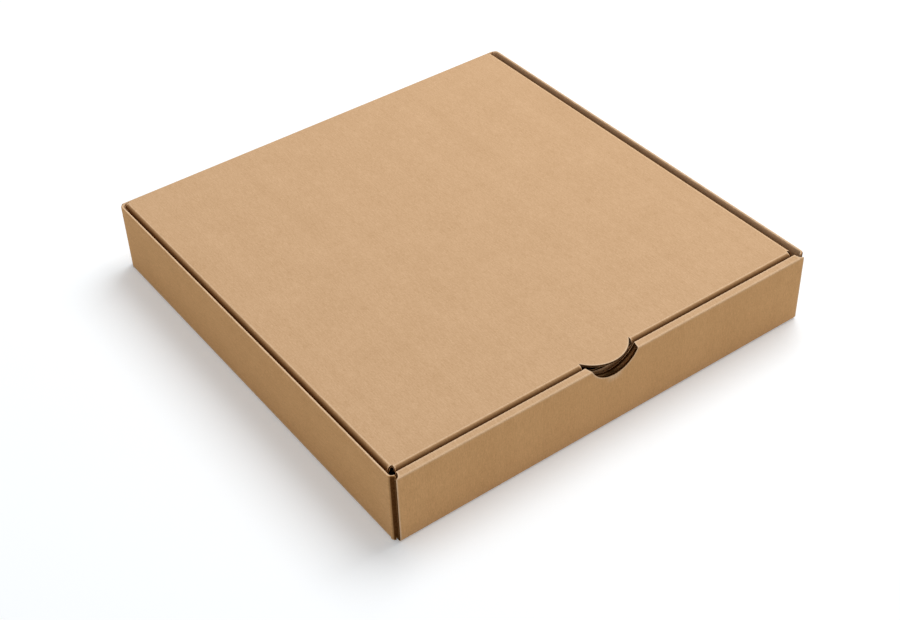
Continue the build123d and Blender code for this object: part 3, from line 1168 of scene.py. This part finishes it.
def makeRearCrease():
    bm = newMesh()
    r = rearCrease
    drop = tray["backTop"] - hingeSpot.z
    less = r["radius"] - r["skin"]
    turns = evenly(0, pi / 2, r["steps"])

    # its section: y, z and how much the dents and the rubbing tell there
    outside = [(r["radius"], drop, 0.0)]
    outside += [(r["radius"] * cos(a), r["radius"] * sin(a), sin(2 * a)) for a in turns]
    inside = [(less, drop, 0.0), *((less * cos(a), less * sin(a), 0.0) for a in turns)]
    rings = []
    for x in evenly(-r["halfWidth"], r["halfWidth"], r["columns"]):
        ring = []
        for y, z, share in outside + inside[::-1]:
            shrink = 1 - r["dent"] * fluteWave(x) * share / r["radius"]
            place = Vector((x, hingeSpot.y + y * shrink, hingeSpot.z + z * shrink))
            ring.append((place, r["rub"] * share, z - y))
        rings.append(ring)
    layRings(bm, rings, linerSlot)
    piece = finishPiece(bm, "rear_crease", (kraftFace,))
    low = Vector((0, hingeSpot.y + r["radius"], hingeSpot.z)) * mm
    high = Vector((0, hingeSpot.y, hingeSpot.z + r["radius"])) * mm
    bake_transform(piece, "tray", "lid", start=low, end=high)


makeTray()
makeLid()
makeRearCrease()
print("box made")


# floor: white to the camera, with the box's shadow left on it; metres
floorLook = {
    "size": 12.0,
    "drop": 0.0002,
    "colour": (0.82, 0.82, 0.815, 1),
    "seenColour": (0.848, 0.877, 0.9, 1),  # evens out the card's warm glow in the shadow
    "lift": 0.215,
}


def makeFloor():
    half = floorLook["size"] / 2
    corners = [(-half, -half, 0), (half, -half, 0), (half, half, 0), (-half, half, 0)]
    mesh = bpy.data.meshes.new("floor")
    mesh.from_pydata(corners, [], [(0, 1, 2, 3)])
    floor = bpy.data.objects.new("floor", mesh)
    floor.location.z = -floorLook["drop"]
    scene.collection.objects.link(floor)
    material, tree = newMaterial("paleFloor")
    seen = seenDirectly(tree)
    paint = mixColours(tree, seen, floorLook["colour"], floorLook["seenColour"])
    lift = calc(tree, "MULTIPLY", seen, floorLook["lift"])
    matt = addNode(tree, "ShaderNodeBsdfDiffuse", {"Color": paint})
    glow = addNode(tree, "ShaderNodeEmission", {"Color": (1, 1, 1, 1), "Strength": lift})
    both = addNode(tree, "ShaderNodeAddShader", {0: matt.outputs[0], 1: glow.outputs[0]})
    addNode(tree, "ShaderNodeOutputMaterial", {0: both.outputs[0]})
    mesh.materials.append(material)


makeFloor()


def aimed(body, place, aim, roll=0.0):
    # looks from one place at another, turned about its line of sight
    turn = (Vector(aim) - Vector(place)).to_track_quat("-Z", "Y").to_matrix().to_4x4()
    body.matrix_world = Matrix.Translation(place) @ turn @ Matrix.Rotation(radians(roll), 4, "Z")
    scene.collection.objects.link(body)


# light: a big soft box above, right of the camera, in a pale room; metres
studio = {
    "room": 0.45,
    "boxPower": 22.5,
    "boxSize": 1.2,
    "boxPlace": (0.76, 0.25, 1.58),
    "boxAim": (0.0, 0.0, 0.03),
}


def makeLight():
    world = bpy.data.worlds.new("room")
    scene.world = world
    world.use_nodes = True
    tree = world.node_tree
    tree.nodes.clear()
    strength = addNode(tree, "ShaderNodeMix", {0: seenDirectly(tree), 2: studio["room"], 3: 1.0})
    light = {"Color": (1, 1, 1, 1), "Strength": strength.outputs[0]}
    background = addNode(tree, "ShaderNodeBackground", light)
    addNode(tree, "ShaderNodeOutputWorld", {0: background.outputs[0]})
    lamp = bpy.data.lights.new("softBox", "AREA")
    lamp.shape = "SQUARE"
    lamp.size = studio["boxSize"]
    lamp.energy = studio["boxPower"]
    aimed(bpy.data.objects.new("softBox", lamp), studio["boxPlace"], studio["boxAim"])


makeLight()

# camera at the photograph's angle; metres and degrees
shot = {
    "place": (-0.44655, -0.63233, 0.63563),
    "aim": (-0.03133, -0.03924, 0.025),
    "roll": -2.153,
    "lens": 61.73,  # millimetres, on a sensor this wide
    "sensor": 36.0,
    "nearest": 0.01,
    "farthest": 50.0,
}


def makeCamera():
    data = bpy.data.cameras.new("camera")
    data.lens = shot["lens"]
    data.sensor_width = shot["sensor"]
    data.clip_start = shot["nearest"]
    data.clip_end = shot["farthest"]
    scene.camera = bpy.data.objects.new("camera", data)
    aimed(scene.camera, shot["place"], shot["aim"], shot["roll"])


makeCamera()
print("stage, light and camera set")
